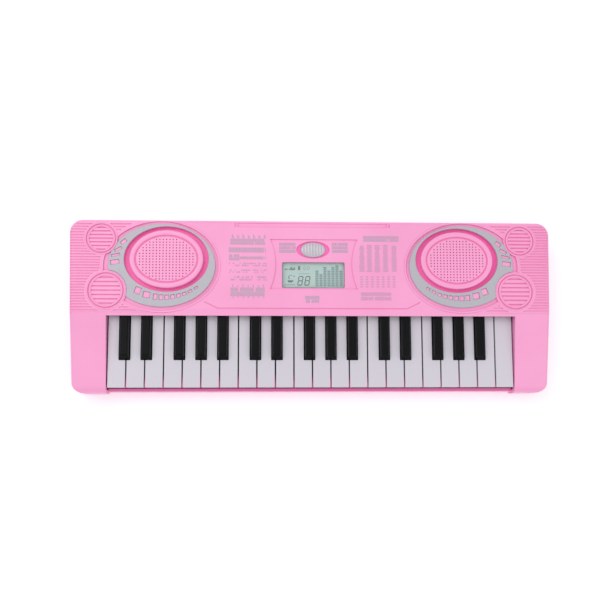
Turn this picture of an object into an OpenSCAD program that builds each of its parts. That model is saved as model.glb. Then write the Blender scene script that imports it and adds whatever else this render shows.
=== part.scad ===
// Toy electronic keyboard: 37 sprung keys in a two-shell casing with two speakers.
// X runs to the player's right, Y away from the player, Z up. The feet stand on Z = 0
// and the casing is centred on X = 0 and Y = 0. Millimetres and degrees throughout.

/* [Casing] */
// Width across the rear of the casing
rear_w = 418; // [416:0.5:422]
// Width across the front of the casing
front_w = 412; // [410:0.5:415]
// Depth from the cheek fronts to the rear wall
body_d = 149; // [149:0.5:151]
// Height of the top panel above the table
panel_z = 37; // [36.8:0.1:38]
// Height of the joint between the two casing shells
parting_z = 20; // [19.8:0.1:20.4]
// Thickness of the casing walls
wall = 2.2; // [2:0.1:2.4]
// Plan radius of the four casing corners
corner_r = 11; // [9:0.5:13]
// Radius of the edge round the top panel
edge_r = 3; // [2:0.25:3.5]
// Height of the rubber feet below the casing
foot_h = 2; // [1.6:0.1:2.4]

/* [Keys] */
// Spacing of the white keys
key_pitch = 16; // [15.9:0.05:16]
// Gap between two white keys
key_gap = 1.2; // [0.9:0.05:1.4]
// Height of the white key tops
white_z = 27; // [26.6:0.1:27.2]
// Height of the black key tops
black_z = 32.5; // [31:0.1:33]
// Width of a black key at its foot
black_w = 8.8; // [8.6:0.1:9]
// Width of a black key along its top
black_top_w = 6.6; // [6:0.1:7]
// Width of the notch that a black key stands in
notch_w = 10; // [9.9:0.05:10.2]
// Clearance between a hinge lug and the steel rod, on the radius
rod_clearance = 0.05; // [0.02:0.01:0.1]

/* [Speakers] */
// Half width of the oval grille
grille_a = 31.5; // [30.5:0.1:31.6]
// Half depth of the oval grille
grille_b = 25.2; // [24.5:0.1:25.4]
// Half width of the silver trim
trim_a = 45.6; // [45:0.1:46.2]
// Half depth of the silver trim
trim_b = 36; // [35.6:0.1:36.2]
// Height of the trim above the panel
trim_rise = 0.7; // [0.3:0.1:1]
// Radius of a hole in the grille
perforation_r = 0.5; // [0.4:0.05:0.6]

/* [Power slider] */
// Travel of the slider each way from its middle position
slider_travel = 3; // [2:0.1:3.2]

/* [Hidden] */

// Colours
pink = [0.98, 0.65, 0.82];
silver = [0.70, 0.68, 0.72];
ivory = [0.86, 0.84, 0.87];
jet = [0.11, 0.11, 0.12];
steel = [0.75, 0.75, 0.77];
board_green = [0.10, 0.42, 0.24];

// Casing levels and edges
rear_y = body_d / 2;
front_y = -body_d / 2;
floor_z = foot_h;
floor_top = floor_z + 2.5;
eps = 0.01;
big = 60;

// The panel is flat behind panel_break_y and slopes down to the cheek fronts before it
panel_break_y = -3;
slope_angle = 8.2;
front_round_r = 7;
slope_l = (panel_break_y - front_y - front_round_r * (1 - sin(slope_angle))) / cos(slope_angle);
front_round_z = panel_z - slope_l * sin(slope_angle) - front_round_r * cos(slope_angle);
taper_angle = atan((rear_w - front_w) / 2 / (body_d - 2 * corner_r));
corner_flats = 12;
corner_step = (90 + taper_angle) / corner_flats;

// Key bed
white_count = 22;
bed_half_w = white_count * key_pitch / 2;
opening_half_w = bed_half_w + 0.5;
panel_lip_y = -8.6;
white_front_y = -69.5;
black_front_y = -45.6;
key_base_z = 17;
lip_front_y = -72.9;
lip_back_y = -69.8;

// Hinge rod, and the stop rib that the key tails rest on
rod_y = 8;
rod_z = 21;
rod_r = 1;
tail_end_y = 14.4;
lug_w = 5;
stop_rib_y = 12.6;
stop_rib_t = 1.6;
stop_gap = 0.05;

// Black keys: place in the octave (left white key of the pair) and sideways shift
octave_gaps = [0, 1, 3, 4, 5];
octave_shifts = [-1.3, 1.3, -2.5, 0.1, 2.7];

// Speakers
speaker_x = 125.9;
speaker_y = 40.1;
well_a = grille_a + 4.6;
well_b = grille_b + 3.1;
well_floor_z = 33;
well_wall = 2;
trim_x = 129.8;
trim_y = 34.7;
channel_x = 130.4;
channel_y = 34.2;
channel_a = 49.3;
channel_b = 38.9;
channel_z = panel_z - 1.5;
rim_w = 1.5;
rim_h = 0.4;
trim_gap = 0.2;
boss_gap = 0.2;
grille_z = panel_z + 1.4;
driver_r = 25;
ellipse_n = 96;

// Oval midway across the trim, which its windows follow
mid_x = (speaker_x + trim_x) / 2;
mid_y = (speaker_y + trim_y) / 2;
mid_a = (well_a + trim_a) / 2;
mid_b = (well_b + trim_b) / 2;

// Round ornaments beside each speaker: place, radius of the smooth pad, of the groove between its
// two raised rings and of the slotted middle, and the spacing of the slots
upper_pad = [181.9, 57.9, 14.2, 12.4, 10.1, 3.2];
lower_pad = [177, 12.8, 17.6, 14.9, 12.5, 3.72];
ring_offset = 1.15;
ring_r = 0.8;
pad_groove_w = 0.8;
slot_w = 1.1;

// Ribbed end zones
rib_pitch = 2.4;
rib_groove = 1.1;
rib_depth = 0.6;
rib_first_y = -6.4;
rib_count = 33;

// Centre display recess, window and slider pocket
recess_x = 1;
recess_half_w = 38;
recess_rear_y = 58.2;
recess_front_y = 14.6;
recess_bulge = 4.8;
recess_z = panel_z - 1;
window_x = 0.6;
window_w = 54;
window_d = 22.3;
window_y = 26.9;
window_r = 1.3;
slider_y = 49.1;
slider_x = 0.3;
cap_a = 10.8;
cap_b = 6.7;
pocket_a = cap_a + slider_travel + 0.6;
pocket_b = cap_b + 0.8;
pocket_z = recess_z - 1.2;

// Boards and power
contact_board_z = 11;
board_t = 1.6;
main_board_z = 27;
cell_r = 7.2;
cell_z = 12;
cell_rows = [32, 48];
cell_l = 50.2;
bay_half_w = 56;
bay_y0 = 24;
bay_y1 = 56;
door_travel = 8;
hook_starts = [27, 41];
hook_l = 5;

// Screw places: in the cheeks, the rear corners, and each side of the middle
screw_places = [[192, -60], [192, -18], [197, 64], [76, 66], [76, 20]];
foot_places = [[168, -56], [168, 56]];
jack_x = 60;
jack_z = 12;

// ---------- shapes that repeat ----------

function arc_points(cx, cy, r, a0, a1, n) =
    [for (i = [0:n]) [cx + r * cos(a0 + (a1 - a0) * i / n), cy + r * sin(a0 + (a1 - a0) * i / n)]];

function ellipse_points(a, b) =
    [for (i = [0:ellipse_n - 1]) [a * cos(360 * i / ellipse_n), b * sin(360 * i / ellipse_n)]];

// Half width of the casing at a distance along Y: the sides are tangents of the corner circles
function side_x(y) =
    front_w / 2 - corner_r + (y - front_y - corner_r) * tan(taper_angle) + corner_r / cos(taper_angle);

module both_sides() {
    children();
    mirror([1, 0, 0]) children();
}

module oval(x, y, a, b, z0, z1) {
    translate([x, y, z0]) linear_extrude(z1 - z0) polygon(ellipse_points(a, b));
}

module disc(x, y, r, z0, z1) {
    translate([x, y, z0]) cylinder(r = r, h = z1 - z0, $fn = 64);
}

module block(x0, x1, y0, y1, z0, z1) {
    translate([x0, y0, z0]) cube([x1 - x0, y1 - y0, z1 - z0]);
}

module rounded_block(w, d, r, z0, z1) {
    translate([0, 0, z0]) linear_extrude(z1 - z0) union() {
        square([w, d - 2 * r], center = true);
        square([w - 2 * r, d], center = true);
        for (sx = [-1, 1]) for (sy = [-1, 1])
            translate([sx * (w / 2 - r), sy * (d / 2 - r)]) circle(r = r, $fn = 32);
    }
}

// A side outline in Y and Z, carried across the whole width
module across(points) {
    translate([-rear_w / 2 - 5, 0, 0]) rotate([90, 0, 90]) linear_extrude(rear_w + 10) polygon(points);
}

// Plan of the casing, moved in by inset
module plan(inset) {
    r = corner_r - inset;
    rear_x = rear_w / 2 - corner_r;
    front_x = front_w / 2 - corner_r;
    polygon(concat(
        arc_points(rear_x, rear_y - corner_r, r, -taper_angle, 90, corner_flats),
        arc_points(-rear_x, rear_y - corner_r, r, 90, 180 + taper_angle, corner_flats),
        arc_points(-front_x, front_y + corner_r, r, 180 + taper_angle, 270, corner_flats),
        arc_points(front_x, front_y + corner_r, r, 270, 360 - taper_angle, corner_flats)));
}

// Side outline of the upper casing, moved in by inset
module upper_block(inset) {
    across(concat(
        [[front_y + inset, parting_z - 5], [rear_y - inset, parting_z - 5]],
        [[rear_y - inset, panel_z - inset], [panel_break_y - inset * tan(slope_angle / 2), panel_z - inset]],
        arc_points(front_y + front_round_r, front_round_z, front_round_r - inset, 90 + slope_angle, 180, 8)));
}

// Waste outside a rounded edge of radius r in five flats; the end flats run on past the edge
module edge_waste(r) {
    reach = 0.4;
    far = 3;
    polygon(concat(
        [[reach * tan(9), -r - reach]], arc_points(-r, -r, r, 0, 90, 5), [[-r - reach, reach * tan(9)]],
        [[-r - reach, far], [far, far], [far, -r - reach]]));
}

// Walls whose top edge is rounded, on the right half: [x, y, facing, slope of the panel, length]
function corner_wall(a, r) =
    [rear_w / 2 - corner_r + r * cos(a), rear_y - corner_r + r * sin(a), a, 0, body_d];

rounded_walls = concat(
    [[0, rear_y, 90, 0, 2 * rear_w]],
    [[side_x(panel_break_y), panel_break_y, -taper_angle, 0, 2 * body_d]],
    [[side_x(panel_break_y), panel_break_y, -taper_angle, slope_angle, 2 * body_d]],
    [for (k = [0:corner_flats - 1])
        corner_wall((k + 0.5) * corner_step - taper_angle, corner_r * cos(corner_step / 2))]);

// Upper casing after the first few edges have been rounded, one pair at a time
module upper_rounded(count) {
    if (count == 0)
        intersection() {
            translate([0, 0, parting_z]) linear_extrude(30) plan(0);
            upper_block(0);
        }
    else
        difference() {
            upper_rounded(count - 1);
            edge = rounded_walls[count - 1];
            both_sides() translate([edge[0], edge[1], panel_z]) rotate([90 + edge[3], 0, edge[2]])
                linear_extrude(edge[4], center = true) edge_waste(edge_r);
        }
}

module upper_solid() {
    upper_rounded(len(rounded_walls));
}

module upper_hollow() {
    intersection() {
        translate([0, 0, parting_z - 2]) linear_extrude(30) plan(wall);
        upper_block(wall);
    }
}

// ---------- top casing details ----------

// Everything the sunk channel, pads and wells need under the panel skin
module thick_places() {
    both_sides() {
        oval(channel_x, channel_y, channel_a + 1, channel_b, 33.6, big);
        disc(upper_pad[0], upper_pad[1], upper_pad[2], 33.2, big);
        disc(lower_pad[0], lower_pad[1], lower_pad[2], 33.2, big);
        block(opening_half_w, opening_half_w + wall, front_y, panel_lip_y + wall, parting_z, big);
        for (p = screw_places) disc(p[0], p[1], 4, parting_z, big);
    }
    translate([recess_x, 0, 0])
        block(-recess_half_w - 2, recess_half_w + 2, recess_front_y - 2, recess_rear_y + 1.5, 33.6, big);
    oval(slider_x, slider_y, pocket_a + 1.5, pocket_b + 1.5, 32.6, big);
    block(-66, 66, 66, rear_y - 1, 33.4, big);
}

// Sound well: a deep oval pocket whose floor carries the grille above and the driver below
module well_walls() {
    oval(speaker_x, speaker_y, well_a + well_wall, well_b + well_wall, well_floor_z - 1.8, 34);
}

// Sunk channel for the trim, which leaves a boss standing in each of the trim's windows
module channel_waste() {
    difference() {
        oval(channel_x, channel_y, channel_a, channel_b, channel_z, big);
        disc(upper_pad[0], upper_pad[1], upper_pad[2], 0, big);
        disc(lower_pad[0], lower_pad[1], lower_pad[2], 0, big);
        trim_windows(boss_gap, 0, big + 1);
    }
}

module raised_rim() {
    difference() {
        intersection() {
            oval(channel_x, channel_y, channel_a + rim_w, channel_b + rim_w, panel_z - 2, panel_z + rim_h);
            block(70, 200, panel_lip_y + 1, rear_y - edge_r, 0, big);
        }
        oval(channel_x, channel_y, channel_a, channel_b, 0, big);
        disc(upper_pad[0], upper_pad[1], upper_pad[2], 0, big);
        disc(lower_pad[0], lower_pad[1], lower_pad[2], 0, big);
    }
}

// Two raised rings round each ornament
module pad_rings(pad) {
    for (side = [-1, 1])
        translate([pad[0], pad[1], panel_z - 0.35])
            rotate_extrude($fn = 72) translate([pad[3] + side * ring_offset, 0]) circle(r = ring_r, $fn = 24);
}

// Groove between the rings, and a sunk disc crossed by level bars that leave slots between them
module pad_recess(pad) {
    half_bar = (pad[5] - slot_w) / 2;
    difference() {
        disc(pad[0], pad[1], pad[3] + pad_groove_w / 2, panel_z - 0.7, big);
        disc(pad[0], pad[1], pad[3] - pad_groove_w / 2, 0, big + 1);
    }
    difference() {
        disc(pad[0], pad[1], pad[4], panel_z - 1.1, big);
        for (i = [-4:3])
            translate([pad[0], pad[1] + (i + 0.5) * pad[5], 0])
                block(-20, 20, -half_bar, half_bar, 0, panel_z - 0.2);
    }
}

// One groove of the ribbed zone, which runs over the rounded edge
module rib_cut(y) {
    x = side_x(y);
    translate([0, y + rib_groove / 2, 0]) rotate([90, 0, 0]) linear_extrude(rib_groove) difference() {
        translate([138, panel_z - edge_r]) square([80, 8]);
        translate([130, 0]) square([x - edge_r - 130, panel_z - rib_depth]);
        translate([x - edge_r, panel_z - edge_r]) circle(r = edge_r - rib_depth, $fn = 48);
    }
}

module rib_zone() {
    difference() {
        union() {
            for (i = [0:rib_count - 1]) rib_cut(rib_first_y + i * rib_pitch);
        }
        oval(channel_x, channel_y, channel_a + 3, channel_b + 3.2, 0, big);
        disc(upper_pad[0], upper_pad[1], upper_pad[2] + 0.8, 0, big);
        disc(lower_pad[0], lower_pad[1], lower_pad[2] + 0.8, 0, big);
    }
}

// Sunk display panel, its two sides bowed inward
module display_recess() {
    half_d = (recess_rear_y - recess_front_y) / 2;
    mid_y = recess_front_y + half_d;
    bow_r = (half_d * half_d + recess_bulge * recess_bulge) / (2 * recess_bulge);
    translate([recess_x, 0, recess_z]) linear_extrude(big) difference() {
        translate([-recess_half_w, recess_front_y]) square([2 * recess_half_w, 2 * half_d]);
        for (s = [-1, 1])
            translate([s * (recess_half_w - recess_bulge + bow_r), mid_y]) circle(r = bow_r, $fn = 120);
    }
}

// Sheet music ledge along the rear edge, closed by a small upright rib at each end
module rear_ledge() {
    difference() {
        block(-65, 65, 68.8, rear_y + 5, panel_z - 0.9, big);
        block(-65, 65, rear_y - 2.3, rear_y + 5, 0, panel_z - 0.4);
    }
    for (s = [-1, 1]) {
        block(s * 67 - 0.5, s * 67 + 0.5, 69, rear_y + 5, panel_z - 0.6, big);
    }
}

// Score line between the panel and the front band, with a slanted end at each speaker
module front_score() {
    end_x = 82;
    block(-end_x, end_x, -2.8, -2, panel_z - 0.5, big);
    both_sides() translate([end_x, -2.4, panel_z - 0.5]) rotate([0, 0, 27])
        translate([-0.2, -0.4, 0]) cube([12.6, 0.8, 5]);
}

module screw_pilots() {
    both_sides() for (p = screw_places) disc(p[0], p[1], 1.25, parting_z - 1, 26);
}

module board_posts() {
    for (x = [-54, 54]) for (y = [22, 56]) disc(x, y, 2.6, main_board_z + board_t, 35);
}

module top_casing() {
    color(pink) difference() {
        union() {
            difference() {
                upper_solid();
                upper_hollow();
            }
            intersection() {
                upper_solid();
                thick_places();
            }
            both_sides() {
                well_walls();
                raised_rim();
                pad_rings(upper_pad);
                pad_rings(lower_pad);
            }
            board_posts();
        }
        block(-opening_half_w, opening_half_w, front_y - 5, panel_lip_y, 0, big);
        both_sides() {
            channel_waste();
            oval(speaker_x, speaker_y, well_a, well_b, well_floor_z, big);
            oval(speaker_x, speaker_y, grille_a - 4, grille_b - 4, 0, big);
            pad_recess(upper_pad);
            pad_recess(lower_pad);
            rib_zone();
        }
        display_recess();
        oval(slider_x, slider_y, pocket_a, pocket_b, pocket_z, big);
        block(slider_x - 6.5, slider_x + 6.5, slider_y - 2, slider_y + 2, 0, big);
        translate([window_x, window_y, 0])
            rounded_block(window_w + 0.4, window_d + 0.4, window_r + 0.2, 0, big);
        rear_ledge();
        front_score();
        screw_pilots();
        for (x = [-54, 54]) for (y = [22, 56]) disc(x, y, 0.95, 0, 33.5);
    }
}

// ---------- bottom casing ----------

module lower_outer() {
    difference() {
        intersection() {
            translate([0, 0, floor_z]) linear_extrude(parting_z - floor_z) plan(0);
            across(concat(
                arc_points(front_y + 5, floor_z + 5, 5, 180, 270, 8),
                arc_points(rear_y - 5, floor_z + 5, 5, 270, 360, 8),
                [[rear_y, parting_z], [front_y, parting_z]]));
        }
        both_sides() translate([side_x(rear_y + 5), rear_y + 5, floor_z]) rotate([90, 0, -taper_angle])
            linear_extrude(body_d + 20) mirror([0, 1]) edge_waste(4);
        block(-opening_half_w, opening_half_w, front_y - 5, lip_front_y, 0, big);
    }
}

module lower_hollow() {
    block(-opening_half_w - 2, opening_half_w + 2, lip_back_y, rear_y - wall, floor_top, big);
    intersection() {
        translate([0, 0, floor_top]) linear_extrude(30) plan(wall + 1);
        block(-big * 4, big * 4, front_y + wall + 1, rear_y - wall, 0, big);
    }
}

// Rib that holds the hinge rod in an open saddle between two key lugs
module rod_support(x) {
    difference() {
        block(x - 1, x + 1, rod_y - 4, stop_rib_y + eps, floor_top - eps, rod_z + 2.4);
        block(x - 2, x + 2, rod_y - rod_r - 0.03, rod_y + rod_r + 0.03, rod_z, big);
        translate([x - 2, rod_y, rod_z]) rotate([0, 90, 0]) cylinder(r = rod_r + 0.03, h = 4, $fn = 32);
    }
}

function support_places() = concat(
    [for (k = [0:3]) -bed_half_w + 7 * k * key_pitch],
    [for (k = [0:2]) -bed_half_w + (7 * k + 3) * key_pitch]);

// Battery bay: two long walls, two end walls above the door's hooks, and a roof
module battery_bay() {
    wall_t = 1.5;
    roof_z = 20.4;
    outer_w = bay_half_w + wall_t;
    for (y = [bay_y0 - wall_t, bay_y1])
        block(-outer_w, outer_w, y, y + wall_t, floor_top - eps, roof_z);
    for (x = [-outer_w, bay_half_w])
        block(x, x + wall_t, bay_y0, bay_y1, floor_top - eps, roof_z);
    block(-outer_w, outer_w, bay_y0 - wall_t, bay_y1 + wall_t, roof_z - eps, roof_z + wall_t);
}

module door_opening() {
    block(-53, 53, bay_y0, bay_y1, 0, floor_top + eps);
    block(-57.3, 57.3, bay_y0 - 2.3, bay_y1 + 2.3 + door_travel + 0.4, 0, floor_z + 1.6);
    both_sides() for (y = hook_starts)
        block(52, 55.8, y + door_travel - 0.5, y + door_travel + hook_l + 0.5, 0, floor_top + eps);
}

module bottom_casing() {
    color(pink) difference() {
        union() {
            difference() {
                lower_outer();
                lower_hollow();
            }
            both_sides() for (p = screw_places) disc(p[0], p[1], 4.6, floor_z + 1, parting_z);
            for (x = support_places()) rod_support(x);
            block(-bed_half_w - 2, bed_half_w + 2, stop_rib_y, stop_rib_y + stop_rib_t,
                floor_top - eps, key_base_z - stop_gap);
            for (y = [-52, -28]) block(-174, 174, y, y + 1.5, floor_top - eps, contact_board_z);
            battery_bay();
        }
        both_sides() for (p = screw_places) {
            disc(p[0], p[1], 3.2, 0, 14);
            disc(p[0], p[1], 1.6, 0, big);
        }
        both_sides() for (p = foot_places) disc(p[0], p[1], 6.15, 0, floor_z + 0.6);
        door_opening();
        translate([jack_x, rear_y - 6, jack_z]) rotate([-90, 0, 0]) cylinder(r = 3.1, h = 12, $fn = 48);
    }
}

// ---------- keys ----------

function white_left(i) = -bed_half_w + i * key_pitch;

// Middle of the black key n, counted from the left
function black_x(n) =
    -bed_half_w + (7 * floor(n / 5) + octave_gaps[n % 5] + 1) * key_pitch + octave_shifts[n % 5];

function has_black_right(i) = i < white_count - 1 && (i % 7 != 2) && (i % 7 != 6);
function has_black_left(i) = i > 0 && (i % 7 != 0) && (i % 7 != 3);
function black_after(i) = 5 * floor(i / 7) + (i % 7 < 2 ? i % 7 : i % 7 - 1);

function neck_left(i) =
    has_black_left(i) ? black_x(black_after(i - 1)) + notch_w / 2 : white_left(i) + key_gap / 2;
function neck_right(i) =
    has_black_right(i) ? black_x(black_after(i)) - notch_w / 2 : white_left(i + 1) - key_gap / 2;

// Lug behind the key: it turns on the rod and its end rests on the stop rib
module key_lug(x) {
    difference() {
        block(x - lug_w / 2, x + lug_w / 2, -1, tail_end_y, key_base_z, rod_z + 4);
        translate([x - big / 2, rod_y, rod_z]) rotate([0, 90, 0])
            cylinder(r = rod_r + rod_clearance, h = big, $fn = 48);
    }
}

module white_key(i) {
    x0 = white_left(i) + key_gap / 2;
    x1 = white_left(i + 1) - key_gap / 2;
    n0 = neck_left(i);
    n1 = neck_right(i);
    skin = 1.3;
    neck_y = black_front_y - 0.5;
    color(ivory) {
        difference() {
            union() {
                block(x0, x1, white_front_y, neck_y, key_base_z, white_z);
                block(n0, n1, neck_y - eps, 0, key_base_z, white_z);
            }
            block(x0 + skin, x1 - skin, white_front_y + skin, neck_y - skin, 0, white_z - 1.8);
            block(n0 + skin, n1 - skin, neck_y - skin - eps, -4, 0, white_z - 1.8);
        }
        block(n0 + skin - eps, n1 - skin + eps, -46.8, -45.2, key_base_z, white_z - 1.8 + eps);
        key_lug((n0 + n1) / 2);
    }
}

module black_key(n) {
    x = black_x(n);
    half = black_w / 2;
    top_half = black_top_w / 2;
    round_r = 0.9;
    skin = 1.3;
    color(jet) {
        difference() {
            intersection() {
                across(concat(
                    [[0, key_base_z], [0, white_z - 1.5], [-4.5, white_z - 1.5]],
                    arc_points(-7.2, black_z - round_r, round_r, 60, 90, 4),
                    arc_points(-41.2, black_z - 1.5, 1.5, 90, 135, 5),
                    [[black_front_y, white_z + 0.2], [black_front_y, key_base_z]]));
                translate([x, 0, 0]) rotate([90, 0, 0]) linear_extrude(60) polygon(concat(
                    [[-half, key_base_z], [half, key_base_z], [half, white_z]],
                    arc_points(top_half - round_r, black_z - round_r, round_r, 15, 90, 5),
                    arc_points(-top_half + round_r, black_z - round_r, round_r, 90, 165, 5),
                    [[-half, white_z]]));
            }
            block(x - half + skin, x + half - skin, black_front_y + skin + 0.7, -5.5, 0, white_z);
        }
        block(x - half + skin - eps, x + half - skin + eps, -32.8, -31.2, key_base_z, white_z + eps);
        key_lug(x);
    }
}

module key_hinge_rod() {
    color(steel) translate([-bed_half_w - 1.5, rod_y, rod_z]) rotate([0, 90, 0])
        cylinder(r = rod_r, h = 2 * bed_half_w + 3, $fn = 32);
}

module key_contact_board() {
    color(jet) block(-174, 174, -54.5, -25, contact_board_z, contact_board_z + board_t);
}

// Rubber strip with a contact dome under each key
module rubber_contact_strip() {
    base = contact_board_z + board_t;
    color([0.16, 0.16, 0.17]) {
        block(-173, 173, -50.5, -27.5, base, base + 0.7);
        for (i = [0:white_count - 1])
            translate([(neck_left(i) + neck_right(i)) / 2, -46, base + 0.6])
                cylinder(r1 = 3, r2 = 2, h = 1.1, $fn = 24);
        for (n = [0:14])
            translate([black_x(n), -32, base + 0.6]) cylinder(r1 = 3, r2 = 2, h = 1.1, $fn = 24);
    }
}

// ---------- speakers ----------

module speaker_grille() {
    groove_a = grille_a - 5.1;
    groove_b = grille_b - 5.1;
    column_pitch = 2.84;
    row_pitch = 2.46;
    color(pink) difference() {
        union() {
            oval(speaker_x, speaker_y, grille_a, grille_b, well_floor_z + 0.02, grille_z - 0.7);
            oval(speaker_x, speaker_y, grille_a - 0.7, grille_b - 0.7, well_floor_z + 1, grille_z);
        }
        oval(speaker_x, speaker_y, grille_a - 2, grille_b - 2, 0, grille_z - 2);
        difference() {
            oval(speaker_x, speaker_y, groove_a + 0.5, groove_b + 0.5, grille_z - 0.6, big);
            oval(speaker_x, speaker_y, groove_a - 0.5, groove_b - 0.5, 0, big);
        }
        for (i = [-8:8]) for (j = [-7:7])
            if (pow(i / 8.5, 2) + pow(j / 7.5, 2) < 1)
                translate([speaker_x + i * column_pitch, speaker_y - 0.3 + j * row_pitch, 0])
                    cylinder(r = perforation_r, h = big, $fn = 16);
    }
}

function trim_low_y(dx) = mid_y - mid_b * sqrt(1 - pow(dx / mid_a, 2));

// Windows of the trim: four slanted on the outer side and ten along the front that get smaller.
// Each is its place, width, depth and turn.
window_places = concat(
    [[mid_x + 41.9, mid_y - 0.1, 7.6, 4, -8],
     [mid_x + 41.3, mid_y + 6, 7.6, 2.1, -12],
     [mid_x + 39.3, mid_y + 11, 6.5, 2.4, -28],
     [mid_x + 34.8, mid_y + 17.6, 5.5, 3.2, -38],
     [mid_x + 22, trim_low_y(22) + 2.4, 5.3, 5.8, 20],
     [mid_x + 14.5, trim_low_y(14.5) + 1.7, 6, 5.3, 11]],
    [for (k = [0:7])
        [mid_x + 7.1 - 4.93 * k, trim_low_y(7.1 - 4.93 * k) + 1.6, 3.6, 5 - 0.44 * k, 5 - 5.5 * k]]);

// The windows drawn in by gap on every side, from z0 to z1
module trim_windows(gap, z0, z1) {
    for (p = window_places)
        translate([p[0], p[1], z0]) rotate([0, 0, p[4]])
            translate([gap - p[2] / 2, gap - p[3] / 2, 0])
                cube([p[2] - 2 * gap, p[3] - 2 * gap, z1 - z0]);
}

module speaker_trim() {
    color(silver) difference() {
        oval(trim_x, trim_y, trim_a, trim_b, channel_z + 0.02, panel_z + trim_rise);
        oval(speaker_x, speaker_y, well_a + trim_gap, well_b + trim_gap, 0, big);
        disc(upper_pad[0], upper_pad[1], upper_pad[2] + trim_gap, 0, big);
        disc(lower_pad[0], lower_pad[1], lower_pad[2] + trim_gap, 0, big);
        trim_windows(0, 0, big);
    }
}

// Loudspeaker: pressed basket, paper cone, ring magnet and back plate
module speaker_driver() {
    front = well_floor_z - 1.8 - 0.05;
    translate([speaker_x, speaker_y, 0]) color([0.25, 0.25, 0.27]) {
        difference() {
            translate([0, 0, front - 9]) cylinder(r1 = 13, r2 = driver_r - 2, h = 8, $fn = 64);
            translate([0, 0, front - 8]) cylinder(r1 = 11.5, r2 = driver_r - 3, h = 8, $fn = 64);
        }
        difference() {
            translate([0, 0, front - 1.2]) cylinder(r = driver_r, h = 1.2, $fn = 64);
            translate([0, 0, front - 2]) cylinder(r = driver_r - 3.2, h = 3, $fn = 64);
        }
        translate([0, 0, front - 8.5]) cylinder(r1 = 5, r2 = driver_r - 3, h = 6, $fn = 64);
        translate([0, 0, front - 15]) cylinder(r = 12.5, h = 6.2, $fn = 64);
        translate([0, 0, front - 16.2]) cylinder(r = 9, h = 1.3, $fn = 48);
    }
}

// ---------- power slider and display ----------

module power_slider() {
    color([0.86, 0.85, 0.87]) {
        difference() {
            oval(slider_x, slider_y, cap_a, cap_b, pocket_z + 0.3, recess_z + 1.6);
            for (i = [-4:4])
                block(slider_x + i * 2.2 - 0.35, slider_x + i * 2.2 + 0.35, slider_y - 10, slider_y + 10,
                    recess_z + 1.1, big);
        }
        block(slider_x - 2.5, slider_x + 2.5, slider_y - 1.6, slider_y + 1.6, 32, pocket_z + 0.4);
    }
}

module display_window() {
    color([0.85, 0.95, 0.95, 0.35]) translate([window_x, window_y, 0]) union() {
        rounded_block(window_w, window_d, window_r, 33.55, recess_z - 0.2);
        rounded_block(window_w + 3, window_d + 3, window_r, 32.75, 33.55);
    }
}

module display_card() {
    color([0.72, 0.85, 0.80]) translate([window_x, window_y, 0])
        rounded_block(window_w + 3, window_d + 3, window_r, 32.1, 32.7);
}

// ---------- boards, wiring and power ----------

module main_circuit_board() {
    top = main_board_z + board_t;
    color(board_green) difference() {
        block(-60, 60, 17.5, 61, main_board_z, top);
        for (x = [-54, 54]) for (y = [22, 56]) disc(x, y, 1.3, 0, big);
    }
    color(jet) {
        block(slider_x - 7, slider_x + 7, slider_y - 3, slider_y + 3, top - eps, top + 2.2);
        block(-30, -12, 24, 36, top - eps, top + 2);
        block(10, 22, 24, 30, top - eps, top + 1.8);
        block(-44, -30, 50, 57, main_board_z - 3, main_board_z + eps);
        for (x = [36, 44]) translate([x, 52, main_board_z - 4.5]) cylinder(r = 2.5, h = 4.5 + eps, $fn = 32);
    }
}

// Round lead with eight sides, swept along a route that never runs straight along Y
module lead(route, r) {
    sides = 8;
    n = len(route);
    function along(i) = let (d = route[min(i + 1, n - 1)] - route[max(i - 1, 0)]) d / norm(d);
    function across_x(i) = let (c = cross(along(i), [0.02, 1, 0.03])) c / norm(c);
    rings = [for (i = [0:n - 1]) for (k = [0:sides - 1])
        route[i] + r * (cos(45 * k) * across_x(i) + sin(45 * k) * cross(along(i), across_x(i)))];
    walls = [for (i = [0:n - 2]) for (k = [0:sides - 1])
        [i * sides + k, i * sides + (k + 1) % sides, (i + 1) * sides + (k + 1) % sides, (i + 1) * sides + k]];
    polyhedron(rings, concat(walls,
        [[for (k = [sides - 1:-1:0]) k], [for (k = [0:sides - 1]) (n - 1) * sides + k]]));
}

// Leads from the main board to both speakers and to the contact board
module wiring() {
    lead_r = 0.6;
    ribbon_route = [[18.5, 26.2], [17.6, 24.5], [16.4, 20], [15.8, 14], [15.6, 9]];
    color([0.75, 0.1, 0.1]) both_sides() for (k = [0, 1])
        lead([[61, 46 + 2 * k, 26], [64, 46 + 2 * k, 25], [70, 45.5 + 2 * k, 22.5], [80, 44.5 + 2 * k, 19],
            [92, 43 + 2 * k, 17], [104, 41 + 2 * k, 16.8], [111.8, 40 + 2 * k, 18.4]], lead_r);
    color([0.1, 0.1, 0.12]) for (k = [0:3])
        lead([for (p = ribbon_route) [-58 + 2 * k, p[0], p[1]]], lead_r);
}

module microphone_jack() {
    color(jet) difference() {
        union() {
            translate([jack_x, rear_y - wall - 1, jack_z]) rotate([-90, 0, 0])
                cylinder(r = 3, h = wall + 0.9, $fn = 48);
            block(jack_x - 4.5, jack_x + 4.5, rear_y - 15, rear_y - wall - 0.1, jack_z - 4, jack_z + 4);
        }
        translate([jack_x, rear_y - 14, jack_z]) rotate([-90, 0, 0]) cylinder(r = 1.8, h = 20, $fn = 48);
    }
}

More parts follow.
